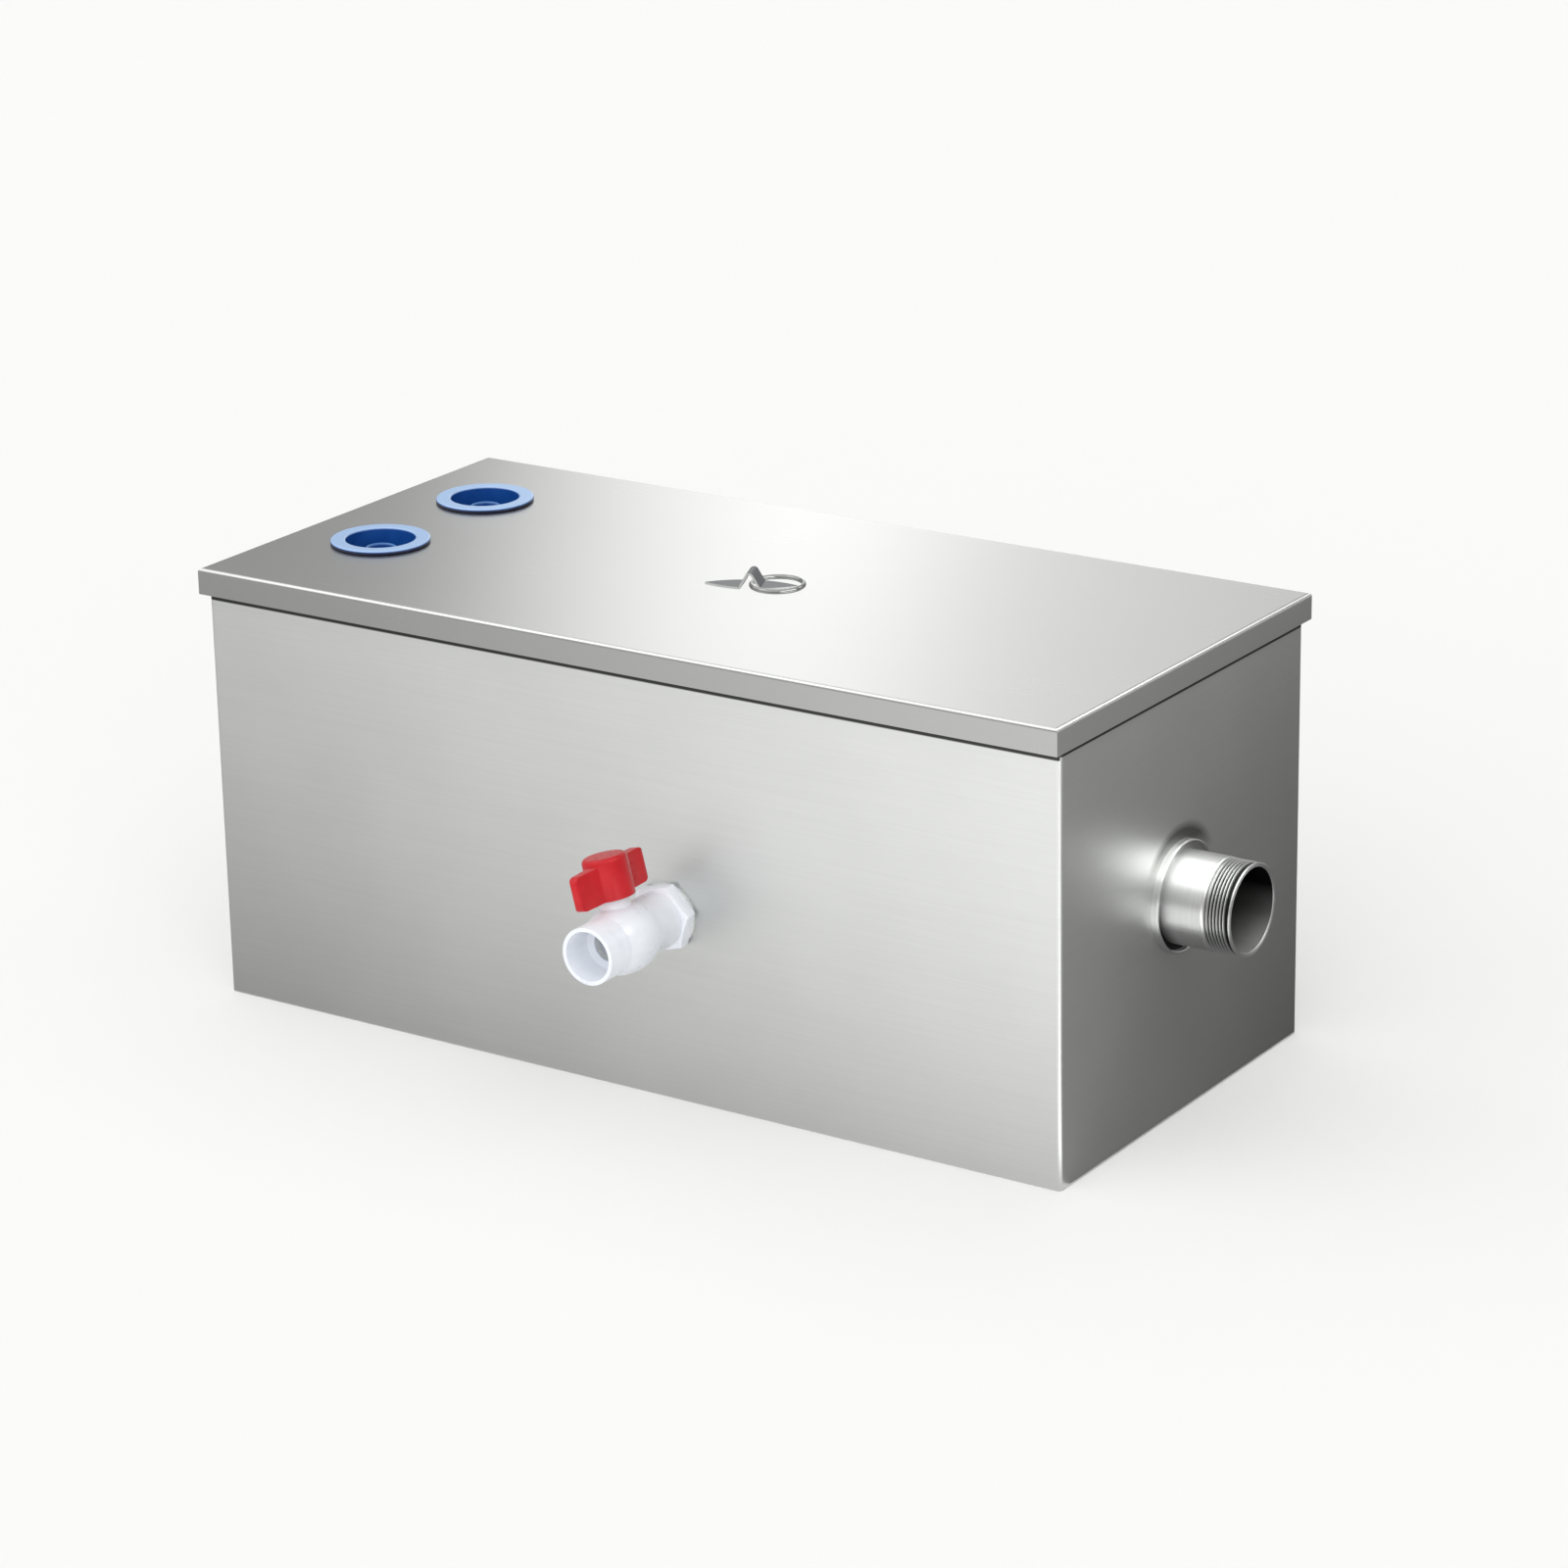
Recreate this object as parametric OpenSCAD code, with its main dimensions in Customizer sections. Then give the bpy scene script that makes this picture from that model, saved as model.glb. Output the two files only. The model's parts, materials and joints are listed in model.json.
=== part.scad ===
// Three-chamber grease trap: a folded sheet-steel tank with a lift-off lid, two rubber inlets in
// the lid, a strainer basket, two baffles, a draw-off ball valve in front and a threaded outlet.
// Origin on the floor under the middle of the tank, +X towards the outlet, -Y towards the valve.

/* [Tank] */
// Outside length of the tank
tank_l = 650; // [600:1:800]
// Outside width of the tank
tank_w = 303; // [280:1:400]
// Height of the tank's rim above the floor
tank_h = 295; // [280:1:360]
// Thickness of the sheet steel
sheet_t = 1.2; // [0.8:0.1:1.6]
// Outside bend radius of the four upright corners
corner_r = 3; // [2:0.5:8]
// Height of the rim's edge that is folded flat inwards
hem_h = 12; // [8:1:20]

/* [Lid] */
// Height of the lid's folded skirt
lid_skirt = 17.5; // [12:0.5:30]
// Outside bend radius of the lid's folds
lid_bend_r = 2.4; // [1.8:0.2:5]
// Play between the skirt and the tank's end walls
lid_end_gap = 1; // [0.5:0.1:4]
// Play between the skirt and the tank's long walls
lid_side_gap = 6.3; // [1:0.1:10]
// Thickness of the foam seal strip under the lid
seal_t = 3; // [2:0.5:6]
// Width of the foam seal strip
seal_w = 12; // [8:1:20]
// How far the seal strip stays back from the tank's edge and the lid's fold
seal_back = 0.3; // [0.2:0.1:2]

/* [Inlets] */
// Distance of the inlets from the tank's closed end
inlet_from_end = 64; // [55:1:80]
// Distance between the two inlets
inlet_pitch = 116; // [90:1:140]
// How far the pair lies behind the tank's middle line
inlet_offset = 9; // [-20:1:20]
// Diameter of the bush's flange on the lid
bush_flange_d = 67; // [62:0.5:80]
// Thickness of the bush's flange
bush_flange_t = 3; // [2:0.25:5]
// Inside diameter of the bush's cup
bush_mouth_d = 46.5; // [40:0.5:48]
// Depth of the cup below the flange's top
bush_depth = 18; // [14:0.5:30]
// Wall and floor thickness of the cup
bush_wall = 2.6; // [1.5:0.1:3]
// Bore of the hose sleeve in the cup's floor
inlet_bore_d = 16.4; // [12:0.2:24]
// Wall thickness of the hose sleeve
sleeve_wall = 3; // [2:0.25:4]
// How far the sleeve's top lies below the flange's top
sleeve_drop = 6.5; // [4:0.5:10]
// How far the bush's lower lip grips the lid past its hole
bush_grip = 2; // [1:0.25:3]

/* [Ring pull] */
// Place of the pull along the tank's length
pull_x = 10; // [-40:0.5:40]
// Place of the pull across the tank's width
pull_y = -8.6; // [-40:0.2:40]
// Turn of the strap from the tank's length
pull_turn = 22; // [-90:1:90]
// Length of the leaf-shaped strap
leaf_l = 62; // [50:1:90]
// Width of the strap at its middle
leaf_w = 18; // [14:0.5:22]
// Thickness of the strap
strap_t = 1.5; // [1:0.1:2]
// Play of the ring's wire inside the strap's hump
hump_play = 0.3; // [0.2:0.05:1]
// Slope of the hump's sides
hump_slope = 60; // [50:1:65]
// Outside bend radius at the hump's top
hump_r = 3; // [2.5:0.25:5]
// Outside diameter of the ring
ring_d = 37; // [34:1:50]
// Diameter of the ring's wire
ring_wire = 3.25; // [3:0.25:4.5]

/* [Drain valve] */
// Place of the valve along the tank's length, from the middle
drain_x = 38; // [-60:1:100]
// Height of the valve's axis above the floor
drain_z = 125; // [80:1:180]
// Lean of the valve's stem towards the tank's closed end
valve_roll = 14; // [-30:1:30]
// Reach of the valve from the tank's wall
valve_reach = 87; // [84:0.5:100]
// Outside diameter of the pipe that the valve's socket takes
pipe_d = 32; // [32:0.5:36]
// Depth of the pipe socket
socket_depth = 22; // [18:0.5:24]
// Wall thickness of the sockets
socket_wall = 2.6; // [2:0.1:4]
// Flow bore of the valve
drain_bore_d = 21; // [16:0.5:22]
// How far the body swells over the ball
bulge_h = 3.8; // [3:0.1:6]
// Half the length of the swelling
bulge_half = 17; // [12:0.5:17]
// Diameter of the ball
ball_d = 31; // [30:0.1:31]
// Outside diameter of the wall fitting's thread
drain_thread_d = 33.2; // [31:0.1:36]
// Hexagon of the wall fitting, across flats
hex_af = 40; // [38:0.5:46]
// Thickness of the wall fitting's hexagon
hex_t = 9; // [6:0.5:10]
// Hexagon of the lock nut, across flats
locknut_af = 46; // [42:0.5:55]
// Thickness of the lock nut
locknut_t = 9; // [6:0.5:14]
// Thickness of the two wall gaskets
gasket_t = 2; // [1:0.25:3]
// Outside diameter of the two wall gaskets
gasket_d = 42; // [40:0.5:52]
// Diameter of the valve's stem
stem_d = 10; // [9:0.25:11]

/* [Valve handle] */
// Length of the handle over both wings
handle_l = 73; // [60:1:90]
// Height of the wings
wing_h = 22.5; // [16:0.5:24]
// Thickness of the wings at their tips
wing_t = 6; // [5:0.25:8]
// Thickness of the wings at the hub
wing_root_t = 11; // [9:0.5:16]
// Diameter of the handle's hub
hub_d = 29; // [27:0.5:34]
// Height of the handle's hub
hub_h = 27; // [25:0.5:32]
// Wall thickness of the hollow hub
hub_wall = 2.4; // [2:0.1:3]

/* [Outlet] */
// How far the outlet lies behind the tank's middle line
outlet_y = -6; // [-30:1:30]
// Height of the outlet's axis above the floor
outlet_z = 146; // [120:1:180]
// Outside diameter of the outlet pipe
outlet_d = 60.3; // [48:0.1:63]
// Crest diameter of the thread at the outlet's end
outlet_thread_d = 59.6; // [47.8:0.1:60]
// Length of the thread
outlet_thread_l = 20; // [14:1:30]
// Wall thickness of the outlet pipe
outlet_wall = 3; // [2:0.25:4]
// Reach of the outlet from the tank's wall
outlet_reach = 51; // [35:1:80]
// Length of the outlet pipe inside the tank
outlet_inside = 12; // [8:1:20]
// Diameter of the weld collar at the wall
collar_d = 73; // [68:0.5:80]
// Length of the weld collar
collar_l = 5; // [4.5:0.5:12]
// Thickness of the collar's rounded lip
collar_lip = 2; // [1.5:0.1:3]
// Depth of the groove between the collar's lip and the pipe
collar_groove = 3; // [1:0.25:3.5]
// Bend radius of the dip elbow's middle line
elbow_r = 45; // [38:1:60]
// Length of the dip elbow's straight end
dip_l = 25; // [10:1:35]

/* [Chambers] */
// Length of the first chamber, from the closed end to the first baffle
chamber_first_l = 187; // [160:1:220]
// Length of the last chamber, from the second baffle to the outlet's end
chamber_last_l = 165; // [150:1:200]
// Height of the passage under the baffles
underflow_h = 45; // [30:1:70]
// Height of the baffles' upper edge above the floor
baffle_top = 240; // [200:1:255]
// Depth of the lip folded along a baffle's upper edge
baffle_lip = 15; // [10:1:25]
// Width of the two finger slots in a baffle
finger_w = 34; // [26:1:44]
// Height of the finger slots
finger_h = 24; // [20:1:30]
// Distance between a baffle's finger slots
finger_pitch = 140; // [100:1:180]
// Depth of the guide channels on the walls
guide_depth = 10; // [8:0.5:16]
// Play of a baffle in its guide channels
guide_play = 0.3; // [0.2:0.05:0.6]

/* [Strainer basket] */
// How far the basket's rim hangs below the tank's rim
basket_drop = 43; // [35:1:60]
// Depth of the basket
basket_depth = 128; // [80:1:140]
// Play between the basket's rim and the end wall or baffle
basket_play = 7; // [4:0.5:12]
// Width of the rim's lip at the basket's ends
lip_end = 8; // [7:0.5:12]
// Overlap of the rim's lip on the support rails
lip_bearing = 9; // [6:0.5:10]
// Width of the support rails
rail_w = 14; // [12:0.5:20]
// Thickness of the support rails
rail_t = 2; // [1.5:0.25:3]
// Play between the rails and the basket's walls
rail_play = 2; // [1:0.25:4]
// Depth of the band folded down inside the basket's rim
band_h = 12; // [8:1:20]
// Diameter of the basket's holes
hole_d = 10; // [6:0.5:12]
// Distance between the basket's holes
hole_pitch = 22; // [18:0.5:30]
// Diameter of the lifting handles' rod
rod_d = 6; // [4:0.25:6.5]
// Length of a lifting handle
lift_l = 100; // [80:1:140]
// Height of a lifting handle above the rim
lift_h = 24; // [20:0.5:28]
// Bend radius of the handles' rod
lift_bend_r = 10; // [6:0.5:14]

/* [Hidden] */

steel = "#c9cbcb";
dark_steel = "#9b9ea0";
blue_rubber = "#4c86d8";
black_rubber = "#2b2d2f";
clear_silicone = "#dfe2e1";
white_pvc = "#f1f3f4";
white_ptfe = "#faf9f3";
red_plastic = "#dc2a30";

$fn = 64;
// Overlap of a cutting shape past the face it cuts
cut = 1;
// Gap between glued, screwed or welded round pieces
seat_gap = 0.05;
// Running clearance of the valve's turning pieces
run_gap = 0.06;
// Gap between parts that move past each other
move_gap = 0.3;
// Gap that the solvent cement fills in a pipe socket
glue_gap = 0.1;

inner_l = tank_l - 2 * sheet_t;
inner_w = tank_w - 2 * sheet_t;
lid_under = tank_h + seal_t;
lid_top = lid_under + sheet_t;
lid_l = tank_l + 2 * (lid_end_gap + sheet_t);
lid_w = tank_w + 2 * (lid_side_gap + sheet_t);

inlet_x = inlet_from_end - tank_l / 2;
bush_neck_t = 2;
bush_neck_d = bush_mouth_d + 2 * (bush_wall + bush_neck_t);

ring_mid_r = (ring_d - ring_wire) / 2;
ring_up = move_gap + ring_wire / 2;
ring_z = lid_top + ring_up;
// How far the ring's wire curves aside at the ends of the hump
ring_sag = ring_mid_r - sqrt(ring_mid_r * ring_mid_r - leaf_w * leaf_w / 4);
// Half the span of the hump, so that the wire clears its sides at every angle of the ring
hump_half = (ring_sag + ring_wire / 2 + hump_play + strap_t + ring_up * cos(hump_slope)) / sin(hump_slope);

pipe_r = pipe_d / 2;
socket_r = pipe_r + glue_gap;
body_r = socket_r + socket_wall;
body_from = gasket_t + hex_t;
stop_t = 2.5;
seat_back = 2;
seat_reach = ball_d / 2 - seat_back;
seat_grip = 7;
ball_u = valve_reach - socket_depth - stop_t - seat_reach;
spigot_l = 14;
carrier_from = body_from + spigot_l;
carrier_slot = 4;
thread_spare = 4;
thread_inside = sheet_t + gasket_t + locknut_t + thread_spare;

stem_r = stem_d / 2;
tang_l = 10;
tang_t = 4;
tang_h = 3;
flange_t = 2;
flange_r = stem_r + flange_t;
flange_z = socket_r + move_gap;
hub_gap = 0.5;
boss_wall = 5;
boss_r = stem_r + boss_wall;
boss_h = 4;
boss_top = body_r + bulge_h + boss_h;
hub_z = boss_top + hub_gap;
o_ring_t = 1.5;
o_ring_proud = 0.02;
o_ring_r = stem_r - o_ring_t / 2 + o_ring_proud;
o_ring_pitch = 3;
o_ring_z = (flange_z + flange_t + boss_top) / 2;
groove_w = o_ring_t + 4 * seat_gap;
groove_r = o_ring_r - o_ring_t / 2 - seat_gap;
drive_w = 7;
drive_h = 17;
hub_round = 3;
wing_round = 6;
drive_boss_r = 7;

outlet_r = outlet_d / 2;
outlet_bore_r = outlet_r - outlet_wall;

baffle_first_x = chamber_first_l - tank_l / 2;
baffle_second_x = tank_l / 2 - chamber_last_l;
slot_w = sheet_t + 2 * guide_play;
guide_w = slot_w + 2 * sheet_t;
baffle_w = inner_w - 2 * (sheet_t + guide_play);
guide_drop = 20;
guide_top = baffle_top - guide_drop;
finger_drop = 35;
finger_round = 2;

rail_edge = inner_w / 2 - rail_w;
basket_z = tank_h - basket_drop;
basket_x0 = basket_play - inner_l / 2;
basket_x1 = baffle_first_x - guide_w / 2 - basket_play;
basket_mid = (basket_x0 + basket_x1) / 2;
rim_l = basket_x1 - basket_x0;
rim_w = 2 * (rail_edge + lip_bearing);
basket_l = rim_l - 2 * lip_end;
basket_w = 2 * (rail_edge - rail_play);
side_h = basket_depth - 2 * sheet_t;
hole_margin = 16;
lift_x = rim_l / 2 - lip_end / 2;

// Rectangle with round corners, centred
module round_rect(l, w, r) {
    square([l - 2 * r, w], center = true);
    square([l, w - 2 * r], center = true);
    for (sx = [-1, 1], sy = [-1, 1])
        translate([sx * (l / 2 - r), sy * (w / 2 - r)])
            circle(r);
}

// Section of a pan that is open below, with bend radius r at its two upper corners
module fold_section(w, h, r) {
    translate([-w / 2, 0])
        square([w, h - r]);
    translate([r - w / 2, 0])
        square([w - 2 * r, h]);
    for (side = [-1, 1])
        translate([side * (w / 2 - r), h - r])
            circle(r);
}

// Block with folded upper edges, mitred where the folds meet
module fold_block(l, w, h, r) {
    intersection() {
        rotate([90, 0, 90])
            linear_extrude(l, center = true)
                fold_section(w, h, r);
        rotate([90, 0, 0])
            linear_extrude(w, center = true)
                fold_section(l, h, r);
    }
}

// Ring between two radii, from z = 0 upwards
module ring(r_out, r_in, h) {
    difference() {
        cylinder(h, r = r_out);
        translate([0, 0, -cut])
            cylinder(h + 2 * cut, r = r_in);
    }
}

// Hexagon nut blank with its outer corners turned off at the top, from z = 0 upwards
module hexagon(af, h) {
    corner = af / 2 / cos(30);
    bevel = corner - af / 2;
    intersection() {
        cylinder(h, r = corner, $fn = 6);
        rotate_extrude()
            polygon([[0, 0], [corner, 0], [corner, h - bevel / 2], [af / 2, h], [0, h]]);
    }
}

// Valve frame: z outwards along the pipe from the tank's wall, y along the stem
module at_drain() {
    translate([drain_x, -tank_w / 2, drain_z])
        rotate([90, 0, 0])
            rotate([0, 0, valve_roll])
                children();
}

// Stem frame: z along the stem, away from the middle of the ball
module at_stem() {
    at_drain()
        translate([0, 0, ball_u])
            rotate([-90, 0, 0])
                children();
}

// Outlet frame: z outwards along the pipe from the tank's wall
module at_outlet() {
    translate([tank_l / 2, outlet_y, outlet_z])
        rotate([0, 90, 0])
            children();
}

module tank() {
    color(steel)
        difference() {
            linear_extrude(tank_h)
                round_rect(tank_l, tank_w, corner_r);
            translate([0, 0, sheet_t])
                linear_extrude(tank_h - sheet_t - hem_h)
                    round_rect(inner_l, inner_w, max(corner_r - sheet_t, 0.4));
            translate([0, 0, tank_h - hem_h - cut])
                linear_extrude(hem_h + 2 * cut)
                    round_rect(inner_l - 2 * sheet_t, inner_w - 2 * sheet_t,
                        max(corner_r - 2 * sheet_t, 0.2));
            at_drain()
                translate([0, 0, -sheet_t - cut])
                    cylinder(sheet_t + 2 * cut, r = drain_thread_d / 2 + move_gap);
            at_outlet()
                translate([0, 0, -sheet_t - cut])
                    cylinder(sheet_t + 2 * cut, r = outlet_r + seat_gap);
        }
}

module lid() {
    skirt_z = lid_top - lid_skirt;
    color(steel)
        difference() {
            translate([0, 0, skirt_z])
                fold_block(lid_l, lid_w, lid_skirt, lid_bend_r);
            translate([0, 0, skirt_z - cut])
                fold_block(lid_l - 2 * sheet_t, lid_w - 2 * sheet_t,
                    lid_skirt - sheet_t + cut, lid_bend_r - sheet_t);
            for (side = [-1, 1])
                translate([inlet_x, inlet_offset + side * inlet_pitch / 2, lid_under - cut])
                    cylinder(sheet_t + 2 * cut, r = bush_neck_d / 2 + seat_gap);
        }
}

module lid_seal() {
    outer_l = min(tank_l, lid_l - 2 * lid_bend_r) - 2 * seal_back;
    outer_w = min(tank_w, lid_w - 2 * lid_bend_r) - 2 * seal_back;
    color(black_rubber)
        translate([0, 0, tank_h])
            linear_extrude(seal_t)
                difference() {
                    round_rect(outer_l, outer_w, corner_r);
                    square([outer_l - 2 * seal_w, outer_w - 2 * seal_w], center = true);
                }
}

// Half section of an inlet bush, with y = 0 at the lid's upper face
module bush_section() {
    mouth_r = bush_mouth_d / 2;
    wall_r = mouth_r + bush_wall;
    neck_r = bush_neck_d / 2;
    flange_r = bush_flange_d / 2;
    bore_r = inlet_bore_d / 2;
    edge = bush_flange_t / 2;
    floor_y = bush_flange_t - bush_depth;
    sleeve_r = sleeve_wall / 2;
    lip_y = -sheet_t - seat_gap;
    lip_t = 2;
    // Flange with a half-round edge inside and out
    translate([mouth_r + edge, 0])
        square([flange_r - mouth_r - 2 * edge, bush_flange_t]);
    for (r = [mouth_r + edge, flange_r - edge])
        translate([r, edge])
            circle(edge);
    // Cup wall and floor
    translate([mouth_r, floor_y - bush_wall])
        square([bush_wall, bush_depth + bush_wall - edge]);
    translate([bore_r, floor_y - bush_wall])
        square([wall_r - bore_r, bush_wall]);
    // Neck in the lid's hole and the tapered lip that grips under the lid
    translate([mouth_r, lip_y - lip_t])
        square([neck_r - mouth_r, lip_t + sheet_t + seat_gap + edge]);
    polygon([[mouth_r, lip_y], [mouth_r, lip_y - 4 * lip_t], [wall_r, lip_y - 4 * lip_t],
        [neck_r + bush_grip, lip_y - lip_t], [neck_r + bush_grip, lip_y]]);
    // Hose sleeve with a round top
    translate([bore_r, floor_y - bush_wall])
        square([sleeve_wall, bush_depth + bush_wall - sleeve_drop - sleeve_r]);
    translate([bore_r + sleeve_r, bush_flange_t - sleeve_drop - sleeve_r])
        circle(sleeve_r);
}

module inlet_bush(side) {
    color(blue_rubber)
        translate([inlet_x, inlet_offset + side * inlet_pitch / 2, lid_top])
            rotate_extrude()
                bush_section();
}

module inlet_bush_front() {
    inlet_bush(-1);
}

module inlet_bush_rear() {
    inlet_bush(1);
}

// Section of the hump: sloping sides that meet in a round top, with a flat bend inside
module hump_section() {
    turn_x = sin(hump_slope);
    turn_z = cos(hump_slope);
    top_z = (hump_half - hump_r * turn_x) * tan(hump_slope) - hump_r * turn_z;
    side_z = top_z + hump_r * turn_z;
    inner_r = hump_r - strap_t;
    inner_top = inner_r * tan(hump_slope / 2);
    inner_foot = hump_half - strap_t / turn_x + cut / tan(hump_slope);
    difference() {
        union() {
            polygon([[hump_half, 0], [hump_r * turn_x, side_z], [-hump_r * turn_x, side_z], [-hump_half, 0]]);
            translate([0, top_z])
                circle(hump_r);
        }
        polygon([[inner_foot, -cut], [inner_top, top_z + inner_r],
            [-inner_top, top_z + inner_r], [-inner_foot, -cut]]);
    }
}

// Leaf-shaped strap: two pointed tails flat on the lid and the hump that holds the ring
module pull_strap() {
    leaf_r = (leaf_l * leaf_l + leaf_w * leaf_w) / leaf_w / 4;
    hump_inset = 0.25;
    hump_w = 2 * (sqrt(leaf_r * leaf_r - hump_half * hump_half) - leaf_r - hump_inset) + leaf_w;
    color(dark_steel)
        translate([pull_x, pull_y, lid_top])
            rotate([0, 0, pull_turn]) {
                linear_extrude(strap_t)
                    difference() {
                        intersection() {
                            translate([0, leaf_w / 2 - leaf_r])
                                circle(leaf_r, $fn = 360);
                            translate([0, leaf_r - leaf_w / 2])
                                circle(leaf_r, $fn = 360);
                        }
                        square([2 * hump_half - strap_t, 2 * leaf_w], center = true);
                    }
                rotate([90, 0, 0])
                    linear_extrude(hump_w, center = true)
                        hump_section();
            }
}

module pull_ring() {
    color(dark_steel)
        translate([pull_x, pull_y, ring_z])
            rotate([0, 0, pull_turn])
                translate([ring_mid_r, 0, 0])
                    rotate_extrude()
                        translate([ring_mid_r, 0])
                            circle(ring_wire / 2);
}

module drain_adapter() {
    color(white_pvc)
        at_drain()
            difference() {
                union() {
                    translate([0, 0, -thread_inside])
                        cylinder(thread_inside + gasket_t, r = drain_thread_d / 2);
                    translate([0, 0, gasket_t])
                        hexagon(hex_af, hex_t);
                    translate([0, 0, gasket_t])
                        cylinder(hex_t + spigot_l, r = pipe_r);
                }
                translate([0, 0, -thread_inside - cut])
                    cylinder(thread_inside + carrier_from + 2 * cut, r = drain_bore_d / 2);
            }
}

module drain_gasket(z) {
    color(clear_silicone)
        at_drain()
            translate([0, 0, z])
                ring(gasket_d / 2, drain_thread_d / 2 + seat_gap, gasket_t);
}

module drain_gasket_outer() {
    drain_gasket(0);
}

module drain_gasket_inner() {
    drain_gasket(-sheet_t - gasket_t);
}

module drain_locknut() {
    nut_z = -sheet_t - gasket_t;
    color(white_pvc)
        at_drain()
            translate([0, 0, nut_z])
                mirror([0, 0, 1])
                    difference() {
                        hexagon(locknut_af, locknut_t);
                        translate([0, 0, -cut])
                            cylinder(locknut_t + 2 * cut, r = drain_thread_d / 2 + seat_gap);
                    }
}

// Half outline of the valve's body: a plain tube that swells over the ball
module body_outline() {
    swell_r = (bulge_half * bulge_half + bulge_h * bulge_h) / bulge_h / 2;
    translate([0, body_from])
        square([body_r, valve_reach - body_from]);
    intersection() {
        translate([body_r + bulge_h - swell_r, ball_u])
            circle(swell_r);
        translate([0, ball_u - bulge_half])
            square([body_r + bulge_h, 2 * bulge_half]);
    }
}

module valve_body() {
    chamber_end = ball_u + seat_reach;
    color(white_pvc)
        difference() {
            union() {
                at_drain()
                    rotate_extrude()
                        body_outline();
                at_stem()
                    cylinder(boss_top, r = boss_r);
            }
            at_drain() {
                translate([0, 0, body_from - cut])
                    cylinder(chamber_end - body_from + cut, r = socket_r);
                translate([0, 0, chamber_end - cut])
                    cylinder(stop_t + 2 * cut, r = drain_bore_d / 2);
                translate([0, 0, chamber_end + stop_t])
                    cylinder(socket_depth + cut, r = socket_r);
            }
            at_stem() {
                cylinder(boss_top + cut, r = stem_r + run_gap);
                cylinder(flange_z + flange_t + run_gap, r = flange_r + run_gap);
            }
        }
}

module valve_carrier() {
    carrier_l = ball_u - seat_reach - carrier_from;
    color(white_pvc)
        at_drain()
            translate([0, 0, carrier_from])
                difference() {
                    ring(socket_r - seat_gap, drain_bore_d / 2, carrier_l);
                    translate([-pipe_d, -carrier_slot / 2, -cut])
                        cube([2 * pipe_d, carrier_slot, carrier_slot + cut]);
                }
}

// Seat ring on the pipe side of the ball that side = 1 or -1 names
module valve_seat(side) {
    color(white_ptfe)
        at_drain()
            translate([0, 0, ball_u])
                rotate_extrude()
                    difference() {
                        translate([drain_bore_d / 2, side > 0 ? seat_reach - seat_grip : -seat_reach])
                            square([socket_r - seat_gap - drain_bore_d / 2, seat_grip]);
                        circle(ball_d / 2 + run_gap);
                    }
}

module valve_seat_inner() {
    valve_seat(-1);
}

module valve_seat_outer() {
    valve_seat(1);
}

module valve_ball() {
    color(white_pvc)
        difference() {
            at_stem()
                sphere(ball_d / 2);
            at_drain()
                translate([0, 0, ball_u - ball_d])
                    cylinder(2 * ball_d, r = drain_bore_d / 2);
            at_stem()
                translate([-ball_d / 2, -tang_t / 2 - run_gap, ball_d / 2 - tang_h - run_gap])
                    cube([ball_d, tang_t + 2 * run_gap, tang_h + cut]);
        }
}

module valve_stem() {
    color(white_pvc)
        at_stem()
            difference() {
                union() {
                    intersection() {
                        translate([-tang_l / 2, -tang_t / 2, ball_d / 2 - tang_h])
                            cube([tang_l, tang_t, flange_z + flange_t - ball_d / 2 + tang_h]);
                        cylinder(flange_z + flange_t, r = flange_r);
                    }
                    translate([0, 0, flange_z])
                        cylinder(flange_t, r = flange_r);
                    translate([0, 0, flange_z])
                        cylinder(boss_top - flange_z, r = stem_r);
                    translate([-drive_w / 2, -drive_w / 2, boss_top])
                        cube([drive_w, drive_w, drive_h]);
                }
                for (z = [-1, 1])
                    translate([0, 0, o_ring_z + z * o_ring_pitch / 2 - groove_w / 2])
                        ring(stem_r + cut, groove_r, groove_w);
            }
}

module stem_o_rings() {
    color(black_rubber)
        at_stem()
            for (z = [-1, 1])
                translate([0, 0, o_ring_z + z * o_ring_pitch / 2])
                    rotate_extrude()
                        translate([o_ring_r, 0])
                            circle(o_ring_t / 2);
}

// Half outline of the hub: a drum with a round upper edge
module hub_outline(r, h, edge) {
    square([r, h - edge]);
    square([r - edge, h]);
    translate([r - edge, h - edge])
        circle(edge);
}

// Plan of the wings: from the thick root at the hub to the round tips
module wing_plan() {
    tip_y = handle_l / 2 - wing_t / 2;
    polygon([[wing_root_t / 2, 0], [wing_t / 2, tip_y], [-wing_t / 2, tip_y], [-wing_root_t / 2, 0],
        [-wing_t / 2, -tip_y], [wing_t / 2, -tip_y]]);
    for (side = [-1, 1])
        translate([0, side * tip_y])
            circle(wing_t / 2);
}

module valve_handle() {
    color(red_plastic)
        at_stem()
            translate([0, 0, hub_z])
                difference() {
                    union() {
                        rotate_extrude()
                            hub_outline(hub_d / 2, hub_h, hub_round);
                        intersection() {
                            linear_extrude(wing_h)
                                wing_plan();
                            rotate([90, 0, 90])
                                linear_extrude(hub_d, center = true)
                                    translate([0, wing_h / 2])
                                        round_rect(handle_l, wing_h, wing_round);
                        }
                    }
                    difference() {
                        translate([0, 0, -cut])
                            cylinder(hub_h - hub_wall + cut, r = hub_d / 2 - hub_wall);
                        cylinder(hub_h, r = drive_boss_r);
                    }
                    translate([-drive_w / 2 - run_gap, -drive_w / 2 - run_gap, -cut])
                        cube([drive_w + 2 * run_gap, drive_w + 2 * run_gap, drive_h + cut]);
                }
}

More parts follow.
